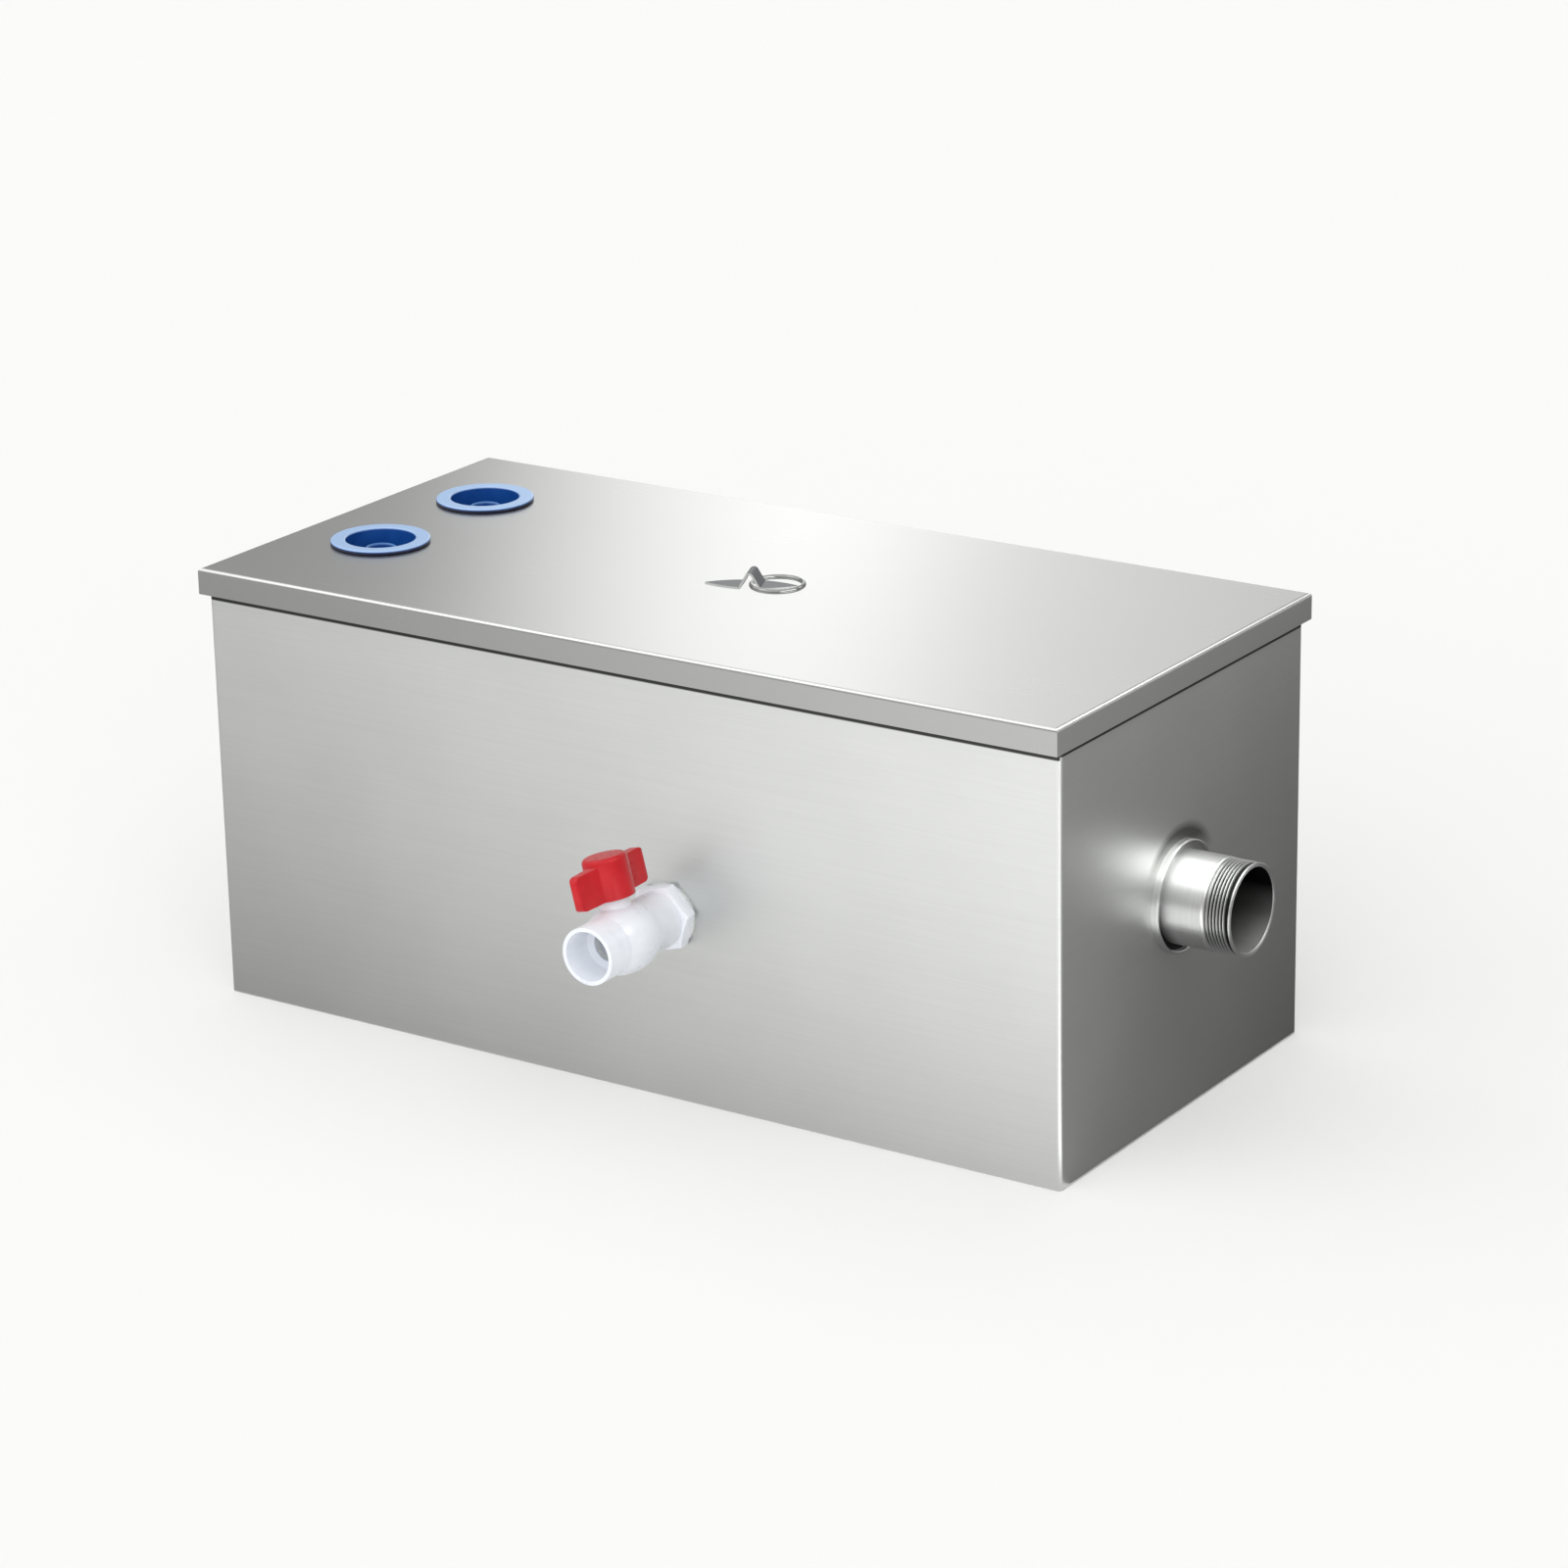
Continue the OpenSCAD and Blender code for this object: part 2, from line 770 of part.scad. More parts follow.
module outlet_nipple() {
    bevel = 1;
    inside = sheet_t + outlet_inside;
    thread_r = outlet_thread_d / 2;
    thread_z = outlet_reach - outlet_thread_l;
    color(steel)
        at_outlet()
            rotate_extrude()
                polygon([[outlet_bore_r, -inside], [outlet_r, -inside], [outlet_r, thread_z],
                    [thread_r, thread_z], [thread_r, outlet_reach - bevel],
                    [thread_r - bevel, outlet_reach], [outlet_bore_r, outlet_reach]]);
}

module outlet_collar() {
    inner_r = outlet_r + seat_gap;
    outer_r = collar_d / 2;
    lip_r = collar_lip / 2;
    color(steel)
        at_outlet()
            rotate_extrude() {
                translate([inner_r, 0])
                    square([outer_r - inner_r, collar_l - collar_groove]);
                translate([outer_r - collar_lip, 0])
                    square([collar_lip, collar_l - lip_r]);
                translate([outer_r - lip_r, collar_l - lip_r])
                    intersection() {
                        circle(lip_r);
                        translate([-lip_r, 0])
                            square([collar_lip, lip_r]);
                    }
            }
}

module outlet_elbow() {
    color(steel)
        translate([inner_l / 2 - outlet_inside, outlet_y, outlet_z - elbow_r]) {
            rotate([90, 0, 0])
                rotate([0, 0, 90])
                    rotate_extrude(angle = 90)
                        translate([elbow_r, 0])
                            difference() {
                                circle(outlet_r);
                                circle(outlet_bore_r);
                            }
            translate([-elbow_r, 0, -dip_l])
                ring(outlet_r, outlet_bore_r, dip_l);
        }
}

// Plate baffle that hangs in its guides, with a lip along the top and two finger slots
module baffle(x) {
    lip_w = inner_w - 2 * (guide_depth + 2 * sheet_t);
    color(steel)
        translate([x, 0, 0])
            difference() {
                union() {
                    translate([-sheet_t / 2, -baffle_w / 2, underflow_h])
                        cube([sheet_t, baffle_w, baffle_top - underflow_h]);
                    translate([-sheet_t / 2, -lip_w / 2, baffle_top - sheet_t])
                        cube([baffle_lip, lip_w, sheet_t]);
                }
                for (side = [-1, 1])
                    translate([-cut - sheet_t, side * finger_pitch / 2, baffle_top - finger_drop])
                        rotate([0, 90, 0])
                            linear_extrude(2 * (cut + sheet_t))
                                round_rect(finger_h, finger_w, finger_round);
            }
}

module baffle_first() {
    baffle(baffle_first_x);
}

module baffle_second() {
    baffle(baffle_second_x);
}

// Pair of guide channels on the long walls, each closed at its foot to carry the baffle
module guides(x) {
    color(steel)
        for (side = [0, 1])
            mirror([0, side, 0])
                translate([x, inner_w / 2, underflow_h]) {
                    linear_extrude(guide_top - underflow_h)
                        difference() {
                            translate([-guide_w / 2, -guide_depth])
                                square([guide_w, guide_depth]);
                            translate([-slot_w / 2, -guide_depth - cut])
                                square([slot_w, guide_depth - sheet_t + cut]);
                        }
                    translate([-guide_w / 2, -guide_depth, -sheet_t])
                        cube([guide_w, guide_depth, sheet_t]);
                }
}

module guides_first() {
    guides(baffle_first_x);
}

module guides_second() {
    guides(baffle_second_x);
}

module basket_rails() {
    rail_z = basket_z - sheet_t;
    color(steel)
        for (side = [0, 1])
            mirror([0, side, 0])
                translate([basket_mid, inner_w / 2, rail_z])
                    rotate([90, 0, 90])
                        linear_extrude(rim_l, center = true)
                            polygon([[0, 0], [0, -rail_w], [-rail_t, -rail_w], [-rail_t, -rail_t],
                                [-rail_w, -rail_t], [-rail_w, 0]]);
}

// Folded rim: a flat lip that lies on the rails and a band that the side walls are welded into
module basket_rim() {
    inside_l = basket_l - 2 * sheet_t;
    inside_w = basket_w - 2 * sheet_t;
    color(steel)
        translate([basket_mid, 0, basket_z])
            difference() {
                union() {
                    translate([-rim_l / 2, -rim_w / 2, -sheet_t])
                        cube([rim_l, rim_w, sheet_t]);
                    translate([-inside_l / 2, -inside_w / 2, -band_h])
                        cube([inside_l, inside_w, band_h]);
                }
                translate([sheet_t - inside_l / 2, sheet_t - inside_w / 2, -band_h - cut])
                    cube([inside_l - 2 * sheet_t, inside_w - 2 * sheet_t, band_h + 2 * cut]);
            }
}

// Flat sheet with a centred grid of holes, keeping a plain margin all round
module perforated(l, w) {
    count_x = floor((l - 2 * hole_margin) / hole_pitch);
    count_y = floor((w - 2 * hole_margin) / hole_pitch);
    difference() {
        square([l, w], center = true);
        for (i = [0 : count_x], j = [0 : count_y])
            translate([(i - count_x / 2) * hole_pitch, (j - count_y / 2) * hole_pitch])
                circle(hole_d / 2, $fn = 24);
    }
}

module basket_sides() {
    end_w = basket_w - 2 * (sheet_t + seat_gap);
    color(steel)
        translate([basket_mid, 0, basket_z - sheet_t - side_h / 2]) {
            for (side = [0, 1])
                mirror([0, side, 0])
                    translate([0, basket_w / 2, 0])
                        rotate([90, 0, 0])
                            linear_extrude(sheet_t)
                                perforated(basket_l, side_h);
            for (side = [0, 1])
                mirror([side, 0, 0])
                    translate([basket_l / 2 - sheet_t, 0, 0])
                        rotate([90, 0, 90])
                            linear_extrude(sheet_t)
                                perforated(end_w, side_h);
        }
}

module basket_floor() {
    color(steel)
        translate([basket_mid, 0, basket_z - basket_depth])
            linear_extrude(sheet_t)
                perforated(basket_l, basket_w);
}

// Lifting handle of bent rod, standing on the rim's end lip
module lift_handle() {
    mid_h = lift_h - rod_d / 2;
    for (side = [0, 1])
        mirror([0, side, 0]) {
            translate([0, lift_l / 2 - rod_d / 2, 0])
                cylinder(mid_h - lift_bend_r, r = rod_d / 2);
            translate([0, lift_l / 2 - rod_d / 2 - lift_bend_r, mid_h - lift_bend_r])
                rotate([90, 0, 90])
                    rotate_extrude(angle = 90)
                        translate([lift_bend_r, 0])
                            circle(rod_d / 2);
        }
    translate([0, 0, mid_h])
        rotate([90, 0, 0])
            cylinder(lift_l - rod_d - 2 * lift_bend_r, r = rod_d / 2, center = true);
}

module basket_handles() {
    color(steel)
        for (side = [-1, 1])
            translate([basket_mid + side * lift_x, 0, basket_z])
                lift_handle();
}

tank();
lid();
lid_seal();
inlet_bush_front();
inlet_bush_rear();
pull_strap();
pull_ring();
drain_adapter();
drain_gasket_outer();
drain_gasket_inner();
drain_locknut();
valve_body();
valve_carrier();
valve_seat_inner();
valve_seat_outer();
valve_ball();
valve_stem();
stem_o_rings();
valve_handle();
outlet_nipple();
outlet_collar();
outlet_elbow();
baffle_first();
baffle_second();
guides_first();
guides_second();
basket_rails();
basket_rim();
basket_sides();
basket_floor();
basket_handles();
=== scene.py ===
import json
import math

import bpy
from mathutils import Matrix, Vector


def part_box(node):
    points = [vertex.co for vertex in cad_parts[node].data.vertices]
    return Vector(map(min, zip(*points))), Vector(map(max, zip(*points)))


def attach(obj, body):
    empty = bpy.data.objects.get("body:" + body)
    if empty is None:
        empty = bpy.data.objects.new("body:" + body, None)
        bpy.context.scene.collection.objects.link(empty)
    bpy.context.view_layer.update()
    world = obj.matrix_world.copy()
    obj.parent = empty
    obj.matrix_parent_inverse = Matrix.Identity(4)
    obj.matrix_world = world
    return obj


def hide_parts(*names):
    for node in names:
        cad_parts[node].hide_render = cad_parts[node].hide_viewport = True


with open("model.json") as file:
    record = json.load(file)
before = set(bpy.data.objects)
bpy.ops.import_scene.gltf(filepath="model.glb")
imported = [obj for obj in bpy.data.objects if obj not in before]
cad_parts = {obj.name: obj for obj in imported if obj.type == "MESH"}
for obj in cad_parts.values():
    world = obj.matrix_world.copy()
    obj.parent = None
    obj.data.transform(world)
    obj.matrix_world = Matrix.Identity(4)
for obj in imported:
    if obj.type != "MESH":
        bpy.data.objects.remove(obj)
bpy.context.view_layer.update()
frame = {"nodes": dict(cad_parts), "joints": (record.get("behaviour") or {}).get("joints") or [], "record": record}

MM = 0.001
X = (1, 0, 0)
Y = (0, 1, 0)
Z = (0, 0, 1)
# Which of X, Y and Z lie square to an axis along X, and to one along Z
ACROSS_X = (0, 1, 1)
ACROSS_Z = (1, 1, 0)
TRAP = "trap"
VALVE_CORE = "valve_core"
BUSHES = ("inlet_bush_front", "inlet_bush_rear")

# Camera: where it stands in millimetres, how it is turned in degrees, and its lens
CAMERA_PLACE = (1748.8, -2559.7, 1234.1)
CAMERA_AZIMUTH = 33.94
CAMERA_ELEVATION = 19.12
CAMERA_ROLL = 1.09
CAMERA_LENS = 114.9
CAMERA_SENSOR = 36.0

# Outlet's pipe, its thread and the lip of the collar round it, in millimetres
PIPE_WALL = 3.0
PIPE_BEVEL = 0.3
MOUTH_LAND = 1.0
THREAD_CREST_R = 29.8
THREAD_PITCH = 2.31
THREAD_DEPTH = 1.48
THREAD_LENGTH = 20.0
RIDGE_SUNK = 0.3
BORE_MARGIN = 0.1
COLLAR_LIP = 2.0
# Form of the thread in shares of its pitch: half of a ridge's crest and of its foot, the run-out behind
# the thread, the rise to the land at the mouth, and how far before that land the ridge ends
CREST_HALF = 0.09
FOOT_HALF = 0.5
RUN_OUT = 1.5
LAND_RISE = 0.4
RIDGE_STOP = 0.8
ROUND_SIDES = 144
PIPE_SMOOTH = math.radians(30)

# Rounded mould edges: faces flatter than the first angle are one face,
# and edges sharper than the second are rounded
MOULD_FLAT = math.radians(1)
MOULD_SHARP = math.radians(35)
MOULD_SEGMENTS = 3
# Radius of those edges on each moulded piece, in millimetres
HANDLE_ROUND = 0.9
BODY_ROUND = 0.6
FITTING_ROUND = 0.5
# Points nearer than this are one point, in millimetres
MERGE = 0.001

# Brush lines of the steel, as long along X, Y and Z as these sizes in millimetres
WRAPPED_GRAIN = (110, 110, 1.3)
LENGTH_GRAIN = (110, 1.3, 1.3)
LATHE_GRAIN = (0.9, 40, 40)
BORE_GRAIN = (60, 6, 6)
WIRE_GRAIN = (8, 8, 8)
STRAP_GRAIN = (20, 3, 3)
# Steel: width of the cloudy marks and depth of the scratches in millimetres, then how strongly both show
STEEL_CLOUD = 85
SCRATCH_DEPTH = 0.05
STEEL_SWING = 0.02
STEEL_BUMP = 0.02
# Plastic and rubber: width of the flow marks and depth that light reaches in millimetres, then how strongly
# the flow changes the gloss and the skin's grit shows
FLOW_MARK = 14
LIGHT_REACH = 1.5
MOULD_SWING = 0.04
MOULD_BUMP = 0.25
# Parts of a noise that the steel's tones cover, and that all other changes cover
STEEL_SPAN = (0.36, 0.64)
NOISE_SPAN = (0.3, 0.7)
# Lathe marks: how far they stretch a highlight, and its quarter turn
LATHE_STRETCH = 0.8
LATHE_TURN = 0.25
# A face lies mostly, or wholly, along a way when its normal passes these shares
MOSTLY = 0.7
WHOLLY = 0.9
# and a face takes the strap's painted edge highlight past this share
EDGE_HIGHLIGHT_SHARE = 0.8


def linear(hex_code):
    """An sRGB hex colour as the linear colour that a shader takes."""
    shares = [int(hex_code[i:i + 2], 16) / 255 for i in (1, 3, 5)]
    return [s / 12.92 if s <= 0.04045 else ((s + 0.055) / 1.055) ** 2.4 for s in shares] + [1.0]


def add_node(tree, kind, props=None, values=None, links=None, stops=()):
    """Adds a shader node with its settings, its sockets' values, the sockets that feed it,
    and for a colour ramp its stops, each a place from 0 to 1 and a linear colour."""
    made = tree.nodes.new(kind)
    for name, value in (props or {}).items():
        setattr(made, name, value)
    for name, value in (values or {}).items():
        made.inputs[name].default_value = value
    for name, source in (links or {}).items():
        tree.links.new(source, made.inputs[name])
    if stops:
        steps = made.color_ramp.elements
        while len(steps) < len(stops):
            steps.new(0.5)
        for step, (at, colour) in zip(steps, stops):
            step.position = at
            step.color = colour
    return made


def new_material(name):
    """An empty material with its output node and its Object coordinates."""
    made = bpy.data.materials.new(name)
    made.use_nodes = True
    tree = made.node_tree
    tree.nodes.clear()
    out = add_node(tree, "ShaderNodeOutputMaterial")
    place = add_node(tree, "ShaderNodeTexCoord").outputs["Object"]
    return made, tree, out, place


def finished(made):
    """A finished material's node tree, its Object coordinates and the inputs of its surface."""
    tree = made.node_tree
    place = next(n for n in tree.nodes if n.type == "TEX_COORD").outputs["Object"]
    surface = next(n for n in tree.nodes if n.type == "BSDF_PRINCIPLED")
    return tree, place, surface.inputs


def per_mm(*sizes):
    """Pattern scale that makes one step of a pattern as long as each size in millimetres."""
    return [1 / (size * MM) for size in sizes]


def round_size(node):
    """The middle and the radius of a round node whose axis lies square to Y."""
    low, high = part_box(node)
    return (low + high) / 2, (high.y - low.y) / 2


def along(tree, vector, way, start, end, low=0.0, high=1.0):
    """How far a vector reaches along a way: a low value up to the start, a high one from the end on."""
    reach = add_node(tree, "ShaderNodeVectorMath", {"operation": "DOT_PRODUCT"}, {1: way}, {0: vector})
    share = add_node(tree, "ShaderNodeMapRange",
                     values={"From Min": start, "From Max": end, "To Min": low, "To Max": high},
                     links={"Value": reach.outputs["Value"]})
    return share.outputs["Result"]


def off_axis(tree, place, centre, across, start, end):
    """How far a point lies from an axis through a centre: 0 at the start radius, 1 at the end radius."""
    offset = add_node(tree, "ShaderNodeVectorMath", {"operation": "SUBTRACT"}, {1: centre}, {0: place})
    flat = add_node(tree, "ShaderNodeVectorMath", {"operation": "MULTIPLY"}, {1: across},
                    {0: offset.outputs["Vector"]})
    radius = add_node(tree, "ShaderNodeVectorMath", {"operation": "LENGTH"},
                      links={0: flat.outputs["Vector"]})
    share = add_node(tree, "ShaderNodeMapRange", values={"From Min": start, "From Max": end},
                     links={"Value": radius.outputs["Value"]})
    return share.outputs["Result"]


def faces(tree, way, limit):
    """1 where the surface faces a way, or its opposite, by more than a limit, and 0 elsewhere."""
    normal = add_node(tree, "ShaderNodeNewGeometry").outputs["Normal"]
    reach = add_node(tree, "ShaderNodeVectorMath", {"operation": "DOT_PRODUCT"}, {1: way}, {0: normal})
    size = add_node(tree, "ShaderNodeMath", {"operation": "ABSOLUTE"}, links={0: reach.outputs["Value"]})
    passed = add_node(tree, "ShaderNodeMath", {"operation": "GREATER_THAN"}, {1: limit},
                      {0: size.outputs["Value"]})
    return passed.outputs["Value"]


def faces_up(tree, start, end):
    """How far the surface faces up: 0 at the start and 1 at the end."""
    normal = add_node(tree, "ShaderNodeNewGeometry").outputs["Normal"]
    return along(tree, normal, Z, start, end)


def paint_shading(made, shares, hex_code, blend_type="MULTIPLY"):
    """Paints light or shade into a finished material's colour where all of the shares are 1. It darkens the
    colour, unless another way to blend is named."""
    tree, _, inputs = finished(made)
    share = shares[0]
    for other in shares[1:]:
        product = add_node(tree, "ShaderNodeMath", {"operation": "MULTIPLY"}, links={0: share, 1: other})
        share = product.outputs["Value"]
    blend = add_node(tree, "ShaderNodeMix", {"data_type": "RGBA", "blend_type": blend_type},
                     {7: linear(hex_code)}, {"Factor": share, 6: inputs["Base Color"].links[0].from_socket})
    tree.links.new(blend.outputs[2], inputs["Base Color"])


def surfaced(tree, out, uneven, fine, tones, rough, swing, bump, depth_mm, settings):
    """Joins a surface to the output. An uneven pattern changes its tone and its roughness,
    and a fine one is its relief."""
    tone = add_node(tree, "ShaderNodeValToRGB", links={"Fac": uneven}, stops=tones)
    roughness = add_node(tree, "ShaderNodeMapRange",
                         values={"From Min": NOISE_SPAN[0], "From Max": NOISE_SPAN[1],
                                 "To Min": rough - swing, "To Max": rough + swing},
                         links={"Value": uneven})
    relief = add_node(tree, "ShaderNodeBump", values={"Strength": bump, "Distance": depth_mm * MM},
                      links={"Height": fine})
    surface = add_node(tree, "ShaderNodeBsdfPrincipled", values=settings,
                       links={"Base Color": tone.outputs["Color"], "Roughness": roughness.outputs["Result"],
                              "Normal": relief.outputs["Normal"]})
    tree.links.new(surface.outputs["BSDF"], out.inputs["Surface"])


def satin_steel(name, dark, light, rough, grain, marks=1.0):
    """Stainless steel, brushed at the mill: fine scratches all one way and faint cloudy handling marks.
    The scratches are drawn about five times coarser than the real grit, so that they show at all.
    Marks says how strong they are."""
    made, tree, out, place = new_material(name)
    brushed = add_node(tree, "ShaderNodeMapping", values={"Scale": per_mm(*grain)}, links={"Vector": place})
    scratches = add_node(tree, "ShaderNodeTexNoise", values={"Scale": 1.0, "Detail": 3.0, "Roughness": 0.6},
                         links={"Vector": brushed.outputs["Vector"]})
    clouds = add_node(tree, "ShaderNodeTexNoise",
                      values={"Scale": per_mm(STEEL_CLOUD)[0], "Detail": 2.0, "Roughness": 0.5},
                      links={"Vector": place})
    blend = add_node(tree, "ShaderNodeMix", {"data_type": "FLOAT"}, {"Factor": 0.5},
                     {"A": scratches.outputs["Fac"], "B": clouds.outputs["Fac"]})
    tones = list(zip(STEEL_SPAN, (linear(dark), linear(light))))
    surfaced(tree, out, blend.outputs["Result"], scratches.outputs["Fac"], tones, rough, STEEL_SWING * marks,
             STEEL_BUMP * marks, SCRATCH_DEPTH, {"Metallic": 1.0})
    return made


def moulded(name, dark, light, rough, ior, grit, relief_mm, body_depth=0.0, shine=0.5):
    """A moulded plastic or rubber: a slightly uneven colour, a fine spark-eroded or matt skin,
    and where it is translucent a little light that spreads below the skin."""
    made, tree, out, place = new_material(name)
    flow = add_node(tree, "ShaderNodeTexNoise",
                    values={"Scale": per_mm(FLOW_MARK)[0], "Detail": 3.0, "Roughness": 0.55},
                    links={"Vector": place})
    skin = add_node(tree, "ShaderNodeTexNoise",
                    values={"Scale": per_mm(grit)[0], "Detail": 2.0, "Roughness": 0.6},
                    links={"Vector": place})
    tones = list(zip(NOISE_SPAN, (linear(dark), linear(light))))
    surfaced(tree, out, flow.outputs["Fac"], skin.outputs["Fac"], tones, rough, MOULD_SWING, MOULD_BUMP,
             relief_mm, {"IOR": ior, "Specular IOR Level": shine, "Subsurface Weight": body_depth,
                         "Subsurface Scale": LIGHT_REACH * MM})
    return made


def turned_round(made, axis):
    """Lathe marks round an axis, which draw a highlight out along it."""
    tree, _, inputs = finished(made)
    inputs["Anisotropic"].default_value = LATHE_STRETCH
    inputs["Anisotropic Rotation"].default_value = LATHE_TURN
    marks = add_node(tree, "ShaderNodeTangent", {"direction_type": "RADIAL", "axis": axis})
    tree.links.new(marks.outputs["Tangent"], inputs["Tangent"])


def folded_skirt(made, grain, painted_side_shade, end_rough):
    """Gives a folded lid its skirt: the grain runs level round it, its long sides are darkened with painted shade,
    and its two ends are duller."""
    tree, place, inputs = finished(made)
    flat = next(n for n in tree.nodes if n.type == "MAPPING").outputs["Vector"]
    scratches = flat.links[0].to_node
    level = add_node(tree, "ShaderNodeMapping", values={"Scale": per_mm(*grain)}, links={"Vector": place})
    blend = add_node(tree, "ShaderNodeMix", {"data_type": "VECTOR"},
                     links={"Factor": faces(tree, Z, MOSTLY), 4: level.outputs["Vector"], 5: flat})
    tree.links.new(blend.outputs[1], scratches.inputs["Vector"])
    # Painted shade: the skirt's long sides are coloured darker
    paint_shading(made, [faces(tree, Y, WHOLLY)], painted_side_shade)
    dulled = add_node(tree, "ShaderNodeMix", {"data_type": "FLOAT"}, {"B": end_rough},
                      {"Factor": faces(tree, X, WHOLLY), "A": inputs["Roughness"].links[0].from_socket})
    tree.links.new(dulled.outputs["Result"], inputs["Roughness"])


def skirt_shadow_line(made, skirt_low, side_mm, end_mm, hex_code):
    """A painted shadow line on the walls below the lid's skirt, where the skirt shades them. It ends between two
    depths, which are less on the two end walls than on the long ones."""
    tree, place, _ = finished(made)
    side_line, end_line = (along(tree, place, Z, skirt_low - gone * MM, skirt_low - full * MM)
                           for full, gone in (side_mm, end_mm))
    share = add_node(tree, "ShaderNodeMix", {"data_type": "FLOAT"},
                     links={"Factor": faces(tree, Y, MOSTLY), "A": end_line, "B": side_line})
    paint_shading(made, [share.outputs["Result"]], hex_code)


def painted_collar_reflection(made, node, reach_mm, rise, wall_mm, hex_code):
    """A painted dark reflection of a collar: a grey band on the wall above a collar whose axis lies along X.
    It fades out between two distances from the collar, and between two heights in shares of its radius."""
    tree, place, _ = finished(made)
    middle, collar_r = round_size(node)
    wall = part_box(node)[0].x
    ring = off_axis(tree, place, middle, ACROSS_X, *(collar_r + mm * MM for mm in reach_mm))
    above = along(tree, place, Z, *(middle.z + share * collar_r for share in rise))
    near = along(tree, place, X, *(wall - mm * MM for mm in wall_mm))
    paint_shading(made, [ring, above, near], hex_code)


def groove_shade(made, node, lip_mm, edge_mm, level_mm, hex_code):
    """Painted shade in the lower half of the groove that lies inside a ring's lip, the ring's axis along X."""
    tree, place, _ = finished(made)
    middle, ring_r = round_size(node)
    lip_r = ring_r - lip_mm * MM
    inside = off_axis(tree, place, middle, ACROSS_X, lip_r, lip_r - edge_mm * MM)
    below = along(tree, place, Z, *(middle.z + mm * MM for mm in level_mm))
    paint_shading(made, [inside, below], hex_code)


def bore_top_shade(made, node, low_mm, high_mm, hex_code):
    """Painted shade in a pipe's bore: bright at its bottom and darker towards its top."""
    tree, place, _ = finished(made)
    low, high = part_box(node)
    paint_shading(made, [along(tree, place, Z, low.z + low_mm * MM, high.z - high_mm * MM)], hex_code)


def thread_root_shade(made, node, crest_band_mm, hex_code):
    """Painted shade that darkens a thread from its crests to its roots, the thread's axis along X."""
    tree, place, _ = finished(made)
    middle, _ = round_size(node)
    deep = off_axis(tree, place, middle, ACROSS_X, (THREAD_CREST_R - crest_band_mm) * MM,
                    (THREAD_CREST_R - THREAD_DEPTH) * MM)
    paint_shading(made, [deep], hex_code)


def flange_side_shade(made, node, rim_mm, steep, hex_code):
    """Painted shade on the outer side of a bush's flange, on its lower part that faces down towards the lid."""
    tree, place, _ = finished(made)
    middle, flange_r = round_size(node)
    outside = off_axis(tree, place, middle, ACROSS_Z, *(flange_r - mm * MM for mm in rim_mm))
    paint_shading(made, [outside, faces_up(tree, *steep)], hex_code)


def painted_lit_top(made, height, level, hex_code):
    """Painted light: the faces that lie level above a height get a paler colour, as if lit from above."""
    tree, place, _ = finished(made)
    edge = 0.1 * MM
    above = along(tree, place, Z, height, height + edge)
    paint_shading(made, [above, faces_up(tree, *level)], hex_code, "MIX")


def painted_edge_highlight(made, way, hex_code):
    """A painted highlight on the edges of a strip, which are coloured brighter than its dull faces. The way runs
    across the strip.
    """
    paint_shading(made, [faces(made.node_tree, way, EDGE_HIGHLIGHT_SHARE)], hex_code, "MIX")


# Sheet of the tank: the grain runs level round all four walls, as the sheet was wrapped
tank_steel = satin_steel("satin_stainless_tank", "#CFD0CE", "#D4D5D3", rough=0.42, grain=WRAPPED_GRAIN,
                         marks=0.4)
# Painted shadow under the lid's skirt: a dark line on the walls
skirt_shadow_line(tank_steel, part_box("lid")[0].z, side_mm=(4.8, 5.6), end_mm=(2.6, 3.4), hex_code="#4A4A4A")
# Painted dark reflection of the outlet's collar, on the end wall above it
painted_collar_reflection(tank_steel, "outlet_collar", reach_mm=(12, 6), rise=(0.55, 0.95), wall_mm=(9, 5),
          hex_code="#949492")
# Sheet of the lid: the grain runs along its length
lid_steel = satin_steel("satin_stainless_lid", "#D1D2D0", "#D3D4D2", rough=0.27, grain=LENGTH_GRAIN,
                        marks=0.25)
# The skirt's long sides get painted shade
folded_skirt(lid_steel, WRAPPED_GRAIN, painted_side_shade="#C0C0C0", end_rough=0.39)
# Pieces inside the tank: plain sheet with the same finish
inner_steel = satin_steel("satin_stainless_inside", "#C6C7C5", "#CECFCD", rough=0.38, grain=WRAPPED_GRAIN)
# Pipe: turned and polished round its axis, so the grain runs across it
pipe_steel = satin_steel("turned_stainless_pipe", "#CFD0CF", "#DCDDDC", rough=0.42, grain=LATHE_GRAIN)
turned_round(pipe_steel, "X")
# Thread of the pipe: cut with a die, bright on its crests, with painted shade in its roots
thread_steel = satin_steel("cut_stainless_thread", "#CFD0CF", "#DCDDDC", rough=0.3, grain=LATHE_GRAIN)
thread_root_shade(thread_steel, "outlet_nipple", crest_band_mm=0.2, hex_code="#2A2A2A")
# Collar: turned as the pipe, with painted shade in the lower half of the groove round the pipe
collar_steel = satin_steel("turned_stainless_collar", "#CFD0CF", "#DCDDDC", rough=0.36, grain=LATHE_GRAIN)
turned_round(collar_steel, "X")
groove_shade(collar_steel, "outlet_collar", COLLAR_LIP, edge_mm=0.3, level_mm=(12, -4), hex_code="#1C1C1C")
# Bore of the pipe: as drawn and dull, darker than the outside, with painted shade towards its top
bore_steel = satin_steel("dull_stainless_bore", "#8A8B89", "#969795", rough=0.6, grain=BORE_GRAIN)
bore_top_shade(bore_steel, "outlet_nipple", low_mm=4, high_mm=22, hex_code="#2E2E2E")
